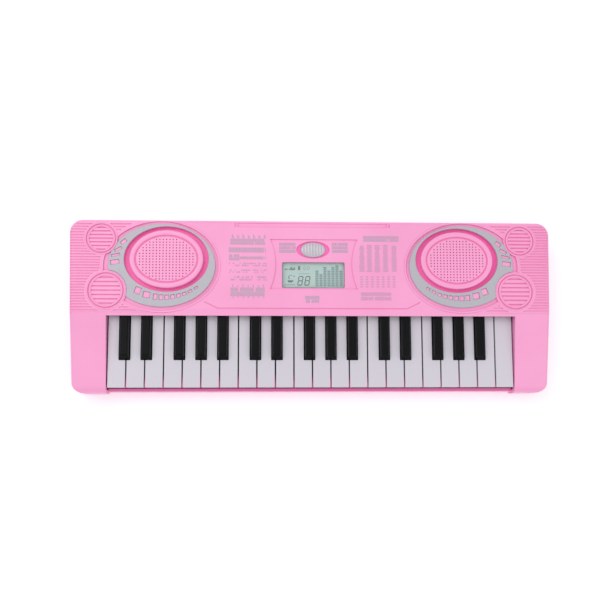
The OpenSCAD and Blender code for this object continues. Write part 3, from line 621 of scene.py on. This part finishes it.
def display_marks():
    """Generic display: two test digits, a level meter and small pictograms, on the card below the window."""
    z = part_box("display_card")[1][2] / MM
    cx, cy, a, b, _, window_top = middle_and_half("display_window")
    border = 1.5
    left, right = cx - a + border, cx + a - border
    low, high = cy - b + border, cy + b - border
    thick = 0.03
    marks, dark, edge = Shapes(), Shapes(), Shapes()

    def at(u, v):
        """Place on the display: u from its left edge and v down from its top edge, both 0 to 1."""
        return left + u * (right - left), high - v * (high - low)

    def mark(shapes, u0, v0, u1, v1):
        x0, y1 = at(u0, v0)
        x1, y0 = at(u1, v1)
        shapes.bar(x0, y0, x1, y1, z, thick)

    # level meter: seven columns of square cells
    foot, step = 0.915, 0.0708
    for k, level in enumerate((0.28, 0.41, 0.14, 0.28, 0.14, 0.07, 0.28)):
        u = 0.536 + 0.0645 * k
        for c in range(round((foot - level) / step)):
            v = foot - step * c
            mark(marks, u, v - 0.056, u + 0.05, v)
    # two seven-segment digits, all segments on
    w, h, t, lean = 4.5, 8.5, 0.95, 1.4

    def segment(x0, y0, px0, py0, px1, py1):
        k0, k1 = lean * py0 / h, lean * py1 / h
        dark.bar(x0 + px0 + k0, y0 + py0, x0 + px1 + k0, y0 + py1, z, thick, k1 - k0)

    for u in (0.24, 0.352):
        corner = at(u, 0.89)
        for row in (0, (h - t) / 2, h - t):
            segment(*corner, t * 0.6, row, w - t * 0.6, row + t)
        for col in (0, w - t):
            segment(*corner, col, t * 0.8, col + t, h / 2 - t * 0.2)
            segment(*corner, col, h / 2 + t * 0.2, col + t, h - t * 0.8)
    # pictograms: arrow bars, block, ring pair, small cup and underline
    for u, width in ((0.04, 0.05), (0.105, 0.02), (0.135, 0.02), (0.165, 0.03)):
        mark(marks, u, 0.22, u + width, 0.28)
    mark(marks, 0.13, 0.16, 0.165, 0.28)
    mark(marks, 0.18, 0.17, 0.21, 0.28)
    mark(dark, 0.255, 0.12, 0.292, 0.28)
    for u in (0.34, 0.4):
        x, y = at(u + 0.02, 0.21)
        outer = oval(x, y, 1.2, 1.5, z + thick, 20)
        inner = oval(x, y, 0.85, 1.15, z + thick, 20)
        marks.loft([oval(x, y, 1.2, 1.5, z, 20), outer, inner, oval(x, y, 0.85, 1.15, z, 20)])
    mark(dark, 0.088, 0.68, 0.18, 0.74)
    mark(dark, 0.1, 0.74, 0.165, 0.77)
    mark(marks, 0.1, 0.5, 0.12, 0.64)
    mark(marks, 0.12, 0.47, 0.16, 0.5)
    mark(marks, 0.18, 0.5, 0.205, 0.56)
    for k in range(6):
        mark(marks, 0.04 + 0.028 * k, 0.83, 0.058 + 0.028 * k, 0.87)
    mark(marks, 0.262, 0.41, 0.45, 0.428)
    marks.make("display_meter", segment_ink, "casing", "display_card")
    dark.make("display_digits", segment_dark, "casing", "display_card")

    def outline(inset, rise):
        """Rounded rectangle inside the window's edge, at a height from the window's top face."""
        r = 1.3 - inset * 0.5
        x0, x1, y0, y1 = left + inset + r, right - inset - r, low + inset + r, high - inset - r
        pts = []
        for px, py, start in ((x1, y1, 0), (x0, y1, 90), (x0, y0, 180), (x1, y0, 270)):
            for k in range(9):
                turn = math.radians(start + 90 * k / 8)
                pts.append((px + r * math.cos(turn), py + r * math.sin(turn), window_top + rise))
        return pts

    # grey frame printed round the edge of the window's top face
    edge.loft([outline(*p) for p in ((0.0, -0.3), (0.0, 0.02), (0.1, 0.06), (0.38, 0.06), (0.42, 0.01),
                                     (0.42, -0.3))])
    edge.make("display_frame", frame_ink, "casing", "clear_plastic")


display_marks()


# ---------- panel prints ----------

def fine_rows(shapes, x0, y0, x1, y1, z, pitch, fill, seed, rows=1, ragged=0.0):
    """A band of small upright dashes that stands for fine generic print.

    pitch is their mean spacing, fill the share that is printed and ragged how unlike their heights are.
    """
    rnd = random.Random(seed)
    step = (y1 - y0) / rows
    for r in range(rows):
        low, high = y0 + (r + 0.04) * step, y0 + (r + 0.96) * step
        x = x0
        while x < x1 - 0.2:
            w = pitch * (0.55 + 0.9 * rnd.random())
            cut = ragged * rnd.random() * (high - low)
            if rnd.random() < fill:
                shapes.bar(x, low + cut * 0.5, min(x + w * 0.8, x1), high - cut, z)
            x += w


def panel_prints():
    """Blocks, rows and dots of generic marks where the panel is printed; no words or signs."""
    z = PANEL_TOP
    s, faint = Shapes(), Shapes()
    # left column: headed table of rhythm marks
    fine_rows(s, -71.3, 53.0, -41.1, 58.5, z, 0.9, 0.97, 1, 2)
    for k in range(7):
        x = -70.0 + 4.6 * k
        s.bar(x, 58.6, x + 0.9, 62.4 - 0.8 * (k % 2), z)
        s.bar(x + 1.3, 58.6, x + 1.9, 60.6, z)
    fine_rows(s, -72.6, 46.1, -40.8, 50.8, z, 0.8, 0.98, 2)
    fine_rows(s, -72.4, 39.2, -63.3, 44.7, z, 0.8, 0.95, 3, 2)
    fine_rows(s, -63.0, 40.2, -40.9, 42.9, z, 0.8, 0.95, 4)
    for row, (low, high) in enumerate(((34.0, 37.6), (28.3, 31.7), (21.5, 25.9))):
        fine_rows(faint, -72.3, low, -39.8, high, z, 1.5, 0.62, 5 + row, 2, 0.3)
    fine_rows(s, -70.9, 7.9, -41.5, 15.9, z, 0.9, 0.97, 9, 2)
    for k in range(7):
        x = -69.4 + 4.4 * k
        s.bar(x, 16.0, x + 0.9, 18.4 - 0.6 * (k % 2), z)
        s.bar(x + 0.3, 6.0 + 0.5 * (k % 2), x + 1.1, 8.1, z)
    s.make("print_left", print_ink, "casing", "silver_plastic")
    # right column: five level strips over a field of small dots
    s = Shapes()
    fine_rows(s, 44.1, 56.4, 75.1, 61.6, z, 0.8, 0.97, 11, 2)
    for x, high, low in ((42.8, 52.9, 30.3), (49.4, 53.8, 30.1), (56.2, 53.4, 30.1), (63.4, 53.8, 30.4),
                         (71.0, 53.0, 30.1)):
        rnd = random.Random(int(x * 10))
        y = high
        while y > low:
            w = 1.5 + 1.0 * rnd.random()
            faint.bar(x - w, y - 0.8, x + w, y, z)
            y -= 1.05
    for k in range(7):
        x = 42.4 + 4.7 * k
        for r in range(5):
            y = 25.4 - 2.15 * r
            faint.bar(x - 1.1, y - 0.6, x + 1.1, y + 0.6, z)
    fine_rows(faint, 41.7, 4.6, 68.1, 12.3, z, 0.9, 0.95, 13, 2, 0.2)
    faint.make("print_faint", faint_ink, "casing", "silver_plastic")
    s.make("print_right", print_ink, "casing", "silver_plastic")
    # centre: two marks beside the slider, one below the display
    s = Shapes()
    fine_rows(s, -29.0, 46.2, -14.6, 55.5, RECESS_TOP, 0.9, 0.95, 15, 3, 0.1)
    fine_rows(s, 16.8, 46.4, 30.7, 55.8, RECESS_TOP, 0.9, 0.95, 16, 3, 0.1)
    fine_rows(s, -6.8, 2.4, 5.7, 8.8, z, 0.9, 0.96, 17, 2)
    s.make("print_centre", print_ink, "casing", "silver_plastic")


panel_prints()


# ---------- stage, light and camera ----------

def stage_and_light():
    g = Graph("floor")
    g.put("Base Color", g.mix(g.noise(3, 2.0), linear(250, 250, 250), linear(252, 252, 252)))
    g.put("Roughness", 0.9)
    g.put("Specular IOR Level", 0.1)
    g.put("Emission Color", (1.0, 1.0, 1.0, 1.0))
    g.put("Emission Strength", 0.22)
    mesh = bpy.data.meshes.new("floor")
    half = 6.0
    corners = [(-half, -half, 0), (half, -half, 0), (half, half, 0), (-half, half, 0)]
    mesh.from_pydata(corners, [], [(0, 1, 2, 3)])
    mesh.materials.append(g.material)
    floor = bpy.data.objects.new("floor", mesh)
    floor.location.z = cad_lo.z - 0.0001
    bpy.context.scene.collection.objects.link(floor)
    world = bpy.data.worlds.new("studio")
    world.use_nodes = True
    world.node_tree.nodes["Background"].inputs["Color"].default_value = (1.0, 1.0, 1.0, 1.0)
    world.node_tree.nodes["Background"].inputs["Strength"].default_value = 0.62
    bpy.context.scene.world = world
    for name, place, size, power in (("key_light", (-0.7, 0.5, 1.5), 1.2, 9.0),
                                     ("fill_light", (0.9, -0.5, 1.4), 1.4, 5.0)):
        data = bpy.data.lights.new(name, "AREA")
        data.size = size
        data.energy = power
        light = bpy.data.objects.new(name, data)
        light.location = place
        light.rotation_euler = (-Vector(place)).to_track_quat("-Z", "Y").to_euler()
        bpy.context.scene.collection.objects.link(light)


def camera():
    """High above the front edge and a little to the left, looking down at the keys."""
    data = bpy.data.cameras.new("camera")
    data.lens = 54.35
    data.sensor_width = 36.0
    cam = bpy.data.objects.new("camera", data)
    cam.location = (-0.0488, -0.1020, 0.8244)
    pitch, roll, turn = 7.3692, -3.0862, -0.2069
    cam.rotation_euler = [math.radians(angle) for angle in (pitch, roll, turn)]
    bpy.context.scene.collection.objects.link(cam)
    bpy.context.scene.camera = cam
    bpy.context.scene.view_settings.view_transform = "Standard"


stage_and_light()
camera()
